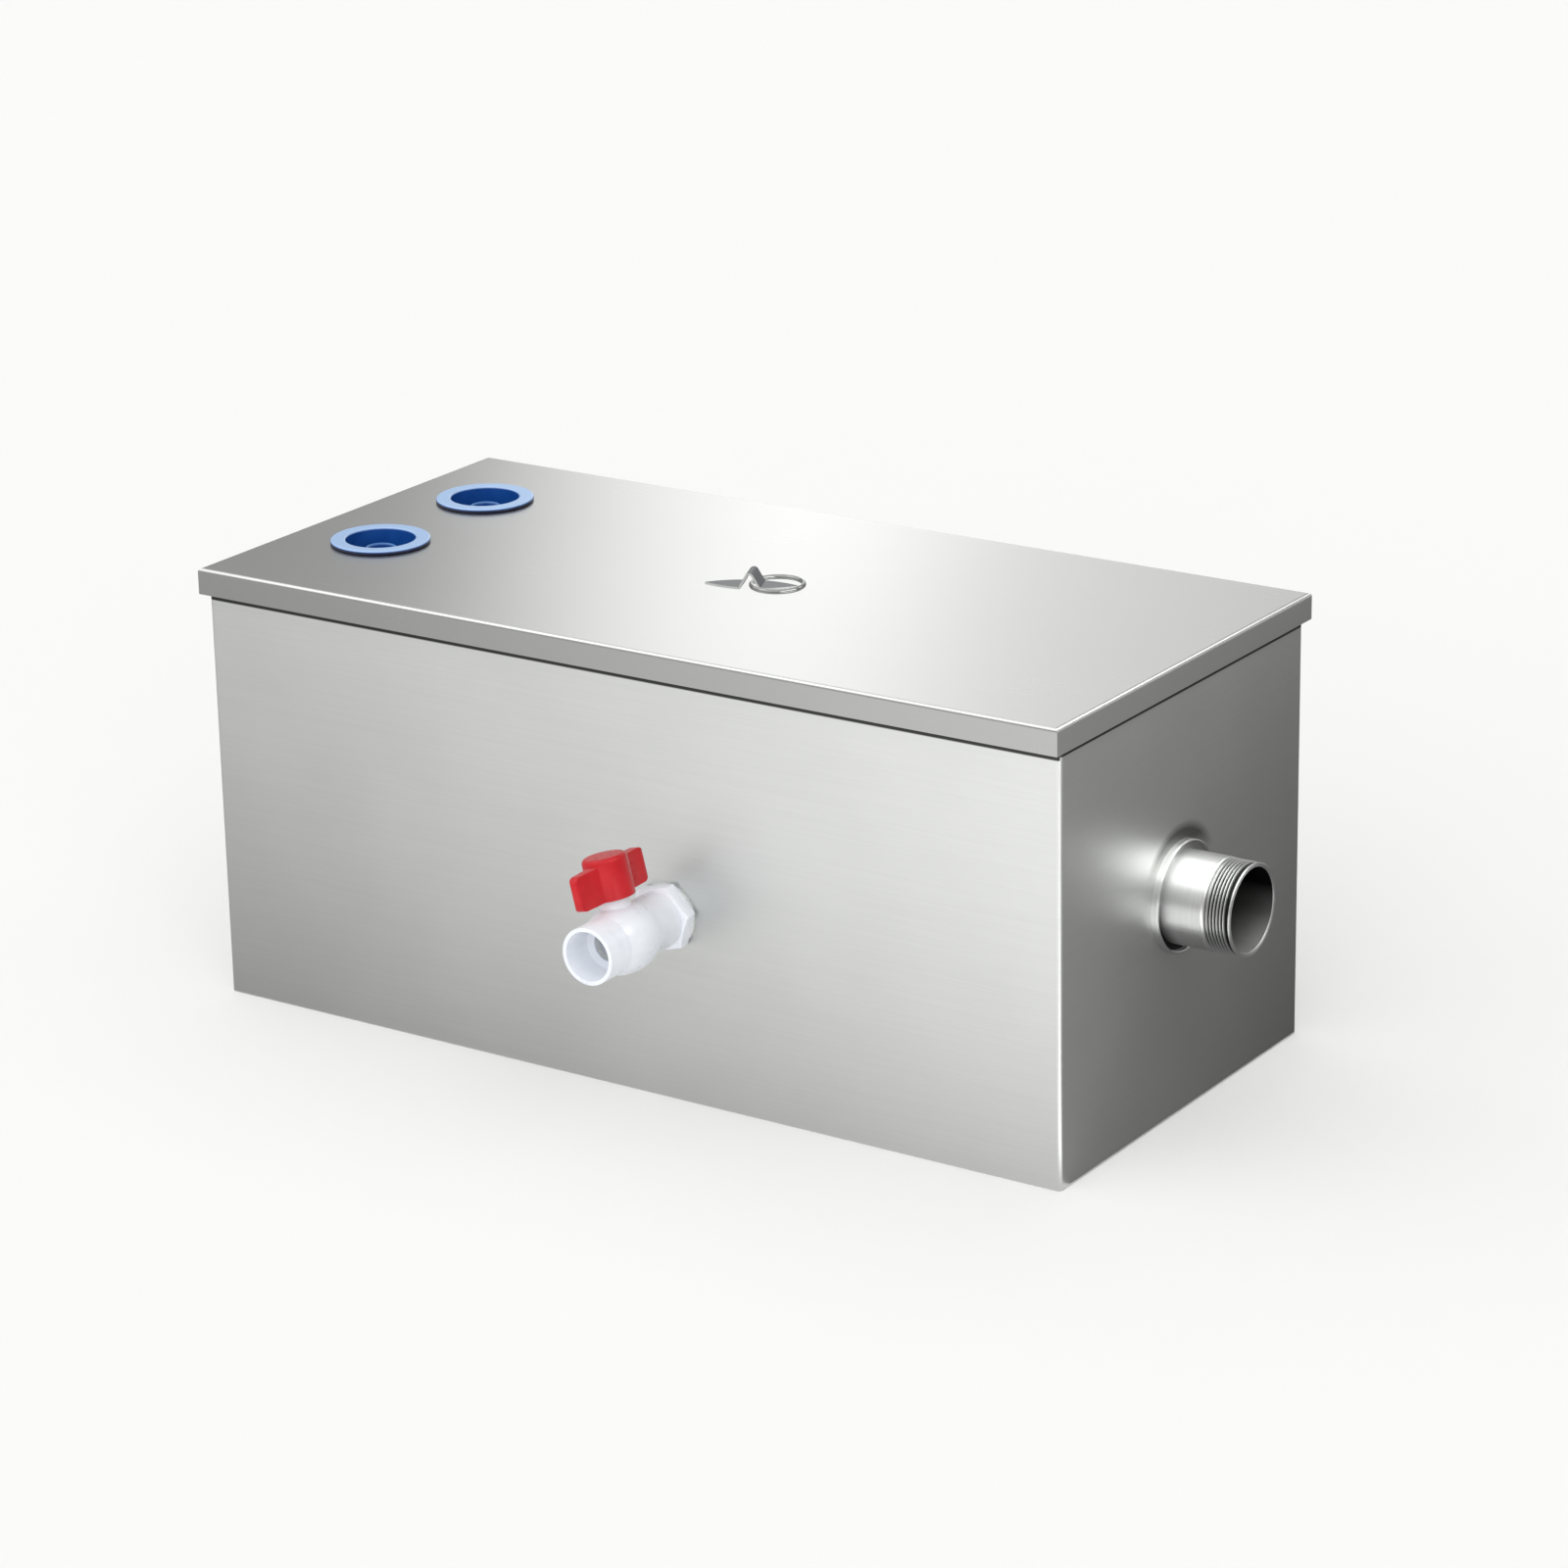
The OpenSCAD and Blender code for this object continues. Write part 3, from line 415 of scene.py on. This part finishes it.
# Wire of the ring and of the basket's handles: drawn and tumbled, with a bright skin
wire_steel = satin_steel("bright_stainless_wire", "#8C8D8C", "#A2A3A2", rough=0.12, grain=WIRE_GRAIN)
# Strap of the ring pull: pressed from dull strip, with a painted highlight on its edges
strap_steel = satin_steel("dull_pressed_strap", "#6F7173", "#7E8082", rough=0.45, grain=STRAP_GRAIN)
ring_hinge = next(joint for joint in frame["joints"] if joint["name"] == "ring_lift")
painted_edge_highlight(strap_steel, ring_hinge["axis"], "#D8D9D8")
# Rubber bushes: smooth moulded rubber, deep blue, with painted light that makes their level faces paler and the
# flange's top palest, and painted shade at the flange's side
bush_rubbers = {bush: moulded("blue_moulded_rubber_" + bush.split("_")[-1], "#124791", "#18519E", rough=0.3,
                              ior=1.52, grit=0.6, relief_mm=0.02) for bush in BUSHES}
for bush, rubber in bush_rubbers.items():
    painted_lit_top(rubber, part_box(bush)[0].z, level=(0.35, 0.75), hex_code="#336EAC")
    painted_lit_top(rubber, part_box("lid")[1].z, level=(0.35, 0.75), hex_code="#A3C2EA")
    # Painted shade at the side of the flange, next to the lid
    flange_side_shade(rubber, bush, rim_mm=(1.5, 1.0), steep=(0.45, 0.1), hex_code="#3A4866")
# Seal strip and O-rings: matt black rubber
black_rubber = moulded("black_foam_rubber", "#141516", "#222426", rough=0.75, ior=1.5, grit=0.5,
                       relief_mm=0.1)
# Wall gaskets: translucent pressed silicone
silicone = moulded("clear_pressed_silicone", "#CFD3D2", "#DCDFDE", rough=0.4, ior=1.41, grit=0.5,
                   relief_mm=0.02, body_depth=0.3)
# Valve, wall fitting and locknut: glossy white PVC with a cool tint
white_pvc = moulded("white_moulded_pvc", "#E9EDF4", "#F1F4FA", rough=0.3, ior=1.53, grit=0.5, relief_mm=0.01)
# Valve seats: turned PTFE, waxy and matt
ptfe = moulded("turned_ptfe", "#EFEDE4", "#F8F7F1", rough=0.45, ior=1.38, grit=0.4, relief_mm=0.02,
               body_depth=0.2)
# Handle: red ABS with a soft gloss
red_abs = moulded("red_moulded_abs", "#BC131C", "#CA1A24", rough=0.3, ior=1.54, grit=0.6, relief_mm=0.01,
                  shine=0.25)

SLOT_LOOKS = {"stainless": inner_steel, "seal_rubber": black_rubber, "clear_silicone": silicone,
              "white_pvc": white_pvc, "ptfe": ptfe, "red_plastic": red_abs}
NODE_LOOKS = {"tank": tank_steel, "lid": lid_steel, "pull_strap": strap_steel, "pull_ring": wire_steel,
              "outlet_nipple": pipe_steel, "outlet_collar": collar_steel, "outlet_elbow": pipe_steel,
              "basket_handles": wire_steel, **bush_rubbers}
NODE_SLOTS = {row["node"]: row["material_slot"] for row in frame["record"]["subparts"]}


def look_of(node):
    """The material that a node's own piece, or the piece that stands for it, wears."""
    return NODE_LOOKS.get(node) or SLOT_LOOKS[NODE_SLOTS[node]]


def wear(piece, material):
    """Puts one material on the whole of a piece."""
    piece.data.materials.clear()
    piece.data.materials.append(material)


def select_only(*pieces):
    """Selects these pieces and nothing else, the first of them as the active one."""
    bpy.ops.object.select_all(action="DESELECT")
    for piece in pieces:
        piece.select_set(True)
    bpy.context.view_layer.objects.active = pieces[0]


def started(name, primitive, **settings):
    """Adds a primitive, selected by itself, as the start of a piece."""
    bpy.ops.object.select_all(action="DESELECT")
    primitive(**settings)
    piece = bpy.context.object
    piece.name = name
    return piece


def stand_for(piece, node, body):
    """Lets a finished piece take a node's place, on the node's body and in its finish."""
    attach(piece, body)
    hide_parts(node)
    wear(piece, look_of(node))


def turned(name, profile):
    """A piece turned on a lathe: a ring drawn out along Z through the profile's points of radius and height,
    of which the first lies at height 0."""
    piece = started(name, bpy.ops.mesh.primitive_circle_add, vertices=ROUND_SIDES, radius=profile[0][0],
                    location=(0, 0, 0))
    bpy.ops.object.mode_set(mode="EDIT")
    for (r0, z0), (r1, z1) in zip(profile, profile[1:] + profile[:1]):
        bpy.ops.mesh.extrude_region_move(TRANSFORM_OT_translate={"value": (0, 0, z1 - z0)})
        bpy.ops.transform.resize(value=(r1 / r0, r1 / r0, 1), center_override=(0, 0, z1))
    bpy.ops.mesh.select_all(action="SELECT")
    bpy.ops.mesh.remove_doubles(threshold=MERGE * MM)
    bpy.ops.mesh.normals_make_consistent(inside=False)
    bpy.ops.object.mode_set(mode="OBJECT")
    return piece


def thread_ridge(name, root_r, crest_r, low, high):
    """The ridge of a pipe thread: a tooth's section wound round Z from low to high, closed at both ends."""
    piece = started(name, bpy.ops.mesh.primitive_plane_add, size=1, location=(0, 0, 0))
    pitch = THREAD_PITCH * MM
    for corner in piece.data.vertices:
        at_crest = corner.co.x > 0
        radius = crest_r if at_crest else root_r - RIDGE_SUNK * MM
        half = (CREST_HALF if at_crest else FOOT_HALF) * pitch
        corner.co = (radius, 0, low + math.copysign(half, corner.co.y))
    bpy.ops.object.mode_set(mode="EDIT")
    bpy.ops.mesh.select_all(action="SELECT")
    bpy.ops.mesh.delete(type="ONLY_FACE")
    bpy.ops.object.mode_set(mode="OBJECT")
    turns = (high - low) / pitch
    wind = piece.modifiers.new("wind", "SCREW")
    wind.axis = "Z"
    wind.angle = 2 * math.pi * turns
    wind.screw_offset = high - low
    wind.steps = wind.render_steps = round(ROUND_SIDES * turns)
    bpy.ops.object.modifier_apply(modifier=wind.name)
    bpy.ops.object.mode_set(mode="EDIT")
    bpy.ops.mesh.select_all(action="DESELECT")
    bpy.ops.mesh.select_mode(type="EDGE")
    bpy.ops.mesh.select_non_manifold()
    bpy.ops.mesh.fill()
    bpy.ops.mesh.select_all(action="SELECT")
    bpy.ops.mesh.normals_make_consistent(inside=False)
    bpy.ops.object.mode_set(mode="OBJECT")
    return piece


def outlet_pipe():
    """The outlet's pipe with a cut thread, a run-out behind it and a full rim at its mouth."""
    low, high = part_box("outlet_nipple")
    foot = Vector((low.x, (low.y + high.y) / 2, (low.z + high.z) / 2))
    outer_r = (high.z - low.z) / 2
    length = high.x - low.x
    crest_r = THREAD_CREST_R * MM
    root_r = crest_r - THREAD_DEPTH * MM
    bore_r = outer_r - PIPE_WALL * MM
    start = length - THREAD_LENGTH * MM
    pitch = THREAD_PITCH * MM
    bevel = PIPE_BEVEL * MM
    land = length - MOUTH_LAND * MM
    profile = [(bore_r, 0), (outer_r, 0), (outer_r, start - bevel), (crest_r, start),
               (root_r, start + RUN_OUT * pitch), (root_r, land - LAND_RISE * pitch), (crest_r, land),
               (crest_r, length - bevel), (crest_r - bevel, length), (bore_r + bevel, length),
               (bore_r, length - bevel)]
    piece = turned("outlet_pipe", profile)
    ridge = thread_ridge("outlet_ridge", root_r, crest_r, start, land - RIDGE_STOP * pitch)
    select_only(piece, ridge)
    bpy.ops.object.join()
    piece.rotation_euler = (0, math.pi / 2, 0)
    piece.location = foot
    bpy.ops.object.transform_apply(location=True, rotation=True, scale=True)
    bpy.ops.object.shade_smooth_by_angle(angle=PIPE_SMOOTH)
    stand_for(piece, "outlet_nipple", TRAP)
    piece.data.materials.append(bore_steel)
    piece.data.materials.append(thread_steel)
    for face in piece.data.polygons:
        offset = face.center - foot
        if math.hypot(offset.y, offset.z) < bore_r + BORE_MARGIN * MM:
            face.material_index = 1
        elif start < offset.x < land:
            face.material_index = 2


def softened(node, body, radius_mm):
    """A copy of a moulded node with its sharp edges rounded, as they leave a real mould."""
    source = frame["nodes"][node]
    piece = bpy.data.objects.new(node + "_soft", source.data.copy())
    bpy.context.scene.collection.objects.link(piece)
    select_only(piece)
    bpy.ops.mesh.customdata_custom_splitnormals_clear()
    bpy.ops.object.mode_set(mode="EDIT")
    bpy.ops.mesh.select_all(action="SELECT")
    bpy.ops.mesh.remove_doubles(threshold=MERGE * MM)
    bpy.ops.mesh.dissolve_limited(angle_limit=MOULD_FLAT)
    bpy.ops.object.mode_set(mode="OBJECT")
    round_off = piece.modifiers.new("round_off", "BEVEL")
    round_off.width = radius_mm * MM
    round_off.segments = MOULD_SEGMENTS
    round_off.limit_method = "ANGLE"
    round_off.angle_limit = MOULD_SHARP
    bpy.ops.object.modifier_apply(modifier=round_off.name)
    bpy.ops.object.shade_smooth_by_angle(angle=MOULD_SHARP)
    stand_for(piece, node, body)
    return piece


# Studio, in metres: the floor's side and how far it lies below the object,
# and then the strength of the grey surround
FLOOR_SIDE = 40
FLOOR_DROP = 0.2 * MM
SURROUND = 0.45
# Height of the cards that lie on the floor for the upright walls, the front one under the others
CARD_LIFT = 1 * MM
FRONT_CARD_LIFT = 0.5 * MM
# Each card has a centre and a size in metres and a turn about X in degrees. Its tones run along one way
# and its glow along another, each way with its start and end. A card without tones is white,
# and one without a way for its glow has the same glow all over.
CORNER_WAY = ((0.558, 0.83, 0), -0.25, 0.35)
CARDS = (
    # Mirrored by the lid: dark at its left end, brightest in its middle
    {"name": "lid_card", "centre": (-0.9, 1.3, 0.8), "turn": 90, "size": (1.6, 1.0), "glow": 1.6,
     "tones_along": ((1, 0, 0.3), -1.463, 0.137),
     "tones": ((0.0, 0.2), (0.25, 0.22), (0.4, 0.72), (0.53, 1.0), (0.6, 0.9), (0.68, 0.65), (0.8, 0.55),
               (1.0, 0.4))},
    # Mirrored by the fold along the lid's right end
    {"name": "end_fold_card", "centre": (0.55, 1.3, 1.25), "turn": 90, "size": (0.9, 0.7), "glow": 2.7,
     "tones_along": (X, 0.1, 1.0), "tones": ((0.0, 0.12), (0.3, 0.3), (0.7, 1.0), (1.0, 1.0))},
    # Mirrored by the fold along the lid's front
    {"name": "front_fold_card", "centre": (-1.1, -0.8, 1.9), "size": (1.1, 0.9), "glow": 2.5},
    # Mirrored along the top of the outlet's pipe
    {"name": "pipe_card", "centre": (0.58, -0.1, 0.62), "size": (0.3, 0.8), "glow": 6.0},
    # Mirrored by the front wall: brighter to the right and towards the top
    {"name": "front_card", "centre": (-0.5, -0.9, FRONT_CARD_LIFT), "size": (2.2, 1.5),
     "glow": (0.86, 1.92), "glow_along": (Y, -0.15, -0.86), "tones_along": ((0.83, -0.56, 0), -0.62, 0.78),
     "tones": ((0.0, 0.4), (0.3, 0.45), (0.5, 0.67), (0.7, 0.9), (1.0, 0.96))},
    # Mirrored by the end wall: a band beside the front corner, low down and further up
    {"name": "corner_near_card", "centre": (0.46, -0.25, CARD_LIFT), "size": (0.2, 0.26),
     "glow": (2.6, 2.0), "glow_along": (X, 0.36, 1.0), "tones_along": CORNER_WAY,
     "tones": ((0.0, 0.05), (0.34, 0.2), (0.42, 1.0), (0.56, 1.0), (0.66, 0.15), (1.0, 0.05))},
    {"name": "corner_card", "centre": (0.87, -0.5, CARD_LIFT), "size": (0.62, 0.6),
     "glow": (2.4, 5.0), "glow_along": (X, 0.56, 1.1), "tones_along": CORNER_WAY,
     "tones": ((0.0, 0.05), (0.15, 0.2), (0.28, 1.0), (0.56, 1.0), (0.68, 0.15), (1.0, 0.05))},
    # Mirrored by the rest of the end wall: darker towards the back
    {"name": "end_card", "centre": (1.224, 0.86, CARD_LIFT), "size": (1.8, 2.0),
     "glow": (0.55, 0.6), "glow_along": (Y, -0.15, 2.0), "tones_along": ((-0.83, 0.56, 0), -0.72, 0.18),
     "tones": ((0.0, 0.6), (0.38, 0.42), (0.62, 0.1), (1.0, 0.06))},
)


def floor():
    """A plain pale floor, large enough to fill the view behind the object."""
    piece = started("pale_floor", bpy.ops.mesh.primitive_plane_add, size=FLOOR_SIDE,
                    location=(0, 0, -FLOOR_DROP))
    made, tree, out, _ = new_material("pale_floor")
    surface = add_node(tree, "ShaderNodeBsdfDiffuse", values={"Color": linear("#F5F5F4")})
    tree.links.new(surface.outputs["BSDF"], out.inputs["Surface"])
    wear(piece, made)


def mirror_card(name, centre, size, glow, glow_along=None, tones=(), tones_along=None, turn=0):
    """A studio card that only gloss sees."""
    piece = started(name, bpy.ops.mesh.primitive_plane_add, size=1, location=centre,
                    rotation=(math.radians(turn), 0, 0))
    piece.scale = (*size, 1)
    bpy.ops.object.transform_apply(location=True, rotation=True, scale=True)
    made, tree, out, place = new_material(name)
    surface = add_node(tree, "ShaderNodeEmission")
    if glow_along:
        tree.links.new(along(tree, place, *glow_along, *glow), surface.inputs["Strength"])
    else:
        surface.inputs["Strength"].default_value = glow
    if tones:
        greys = [(at, (grey, grey, grey, 1)) for at, grey in tones]
        tone = add_node(tree, "ShaderNodeValToRGB", links={"Fac": along(tree, place, *tones_along)},
                        stops=greys)
        tree.links.new(tone.outputs["Color"], surface.inputs["Color"])
    tree.links.new(surface.outputs["Emission"], out.inputs["Surface"])
    wear(piece, made)
    piece.visible_camera = False
    piece.visible_diffuse = False
    piece.visible_shadow = False


def soft_sun(name, strength, width, source):
    """Light from a wide patch of sky, its width in degrees, round a direction towards its source."""
    data = bpy.data.lights.new(name, "SUN")
    data.energy = strength
    data.angle = math.radians(width)
    piece = bpy.data.objects.new(name, data)
    piece.rotation_euler = (-Vector(source)).to_track_quat("-Z", "Y").to_euler()
    bpy.context.scene.collection.objects.link(piece)
    return piece


def studio():
    """Even light from above, a faint fill from the front, a grey surround and the cards for the steel."""
    world = bpy.data.worlds.new("studio")
    bpy.context.scene.world = world
    world.use_nodes = True
    surround = world.node_tree.nodes["Background"].inputs
    surround["Color"].default_value = linear("#FFFFFF")
    surround["Strength"].default_value = SURROUND
    soft_sun("sky_light", strength=1.7, width=120, source=(-0.2, -0.31, 0.93))
    soft_sun("front_fill", strength=0.8, width=60, source=(0.5, -0.75, 0.4)).visible_glossy = False
    for card in CARDS:
        mirror_card(**card)


def camera():
    """The camera, at the photograph's viewing angle."""
    data = bpy.data.cameras.new("camera")
    data.lens = CAMERA_LENS
    data.sensor_width = CAMERA_SENSOR
    piece = bpy.data.objects.new("camera", data)
    azimuth, elevation, roll = (math.radians(a) for a in (CAMERA_AZIMUTH, CAMERA_ELEVATION, CAMERA_ROLL))
    piece.matrix_world = (Matrix.Translation(Vector(CAMERA_PLACE) * MM) @ Matrix.Rotation(azimuth, 4, "Z")
                          @ Matrix.Rotation(math.pi / 2 - elevation, 4, "X") @ Matrix.Rotation(-roll, 4, "Z"))
    bpy.context.scene.collection.objects.link(piece)
    bpy.context.scene.camera = piece


for node_name, node_object in frame["nodes"].items():
    wear(node_object, look_of(node_name))

outlet_pipe()
handle = softened("valve_handle", VALVE_CORE, HANDLE_ROUND)
softened("valve_body", TRAP, BODY_ROUND)
softened("drain_adapter", TRAP, FITTING_ROUND)
# Small pieces that the brushed sheet beside them doesn't mirror
unmirrored = [frame["nodes"][node] for node in ("valve_stem", "stem_o_rings", "pull_strap", "pull_ring")]
for piece in (handle, *unmirrored):
    piece.visible_glossy = False
floor()
studio()
camera()
bpy.context.scene.view_settings.view_transform = "Standard"
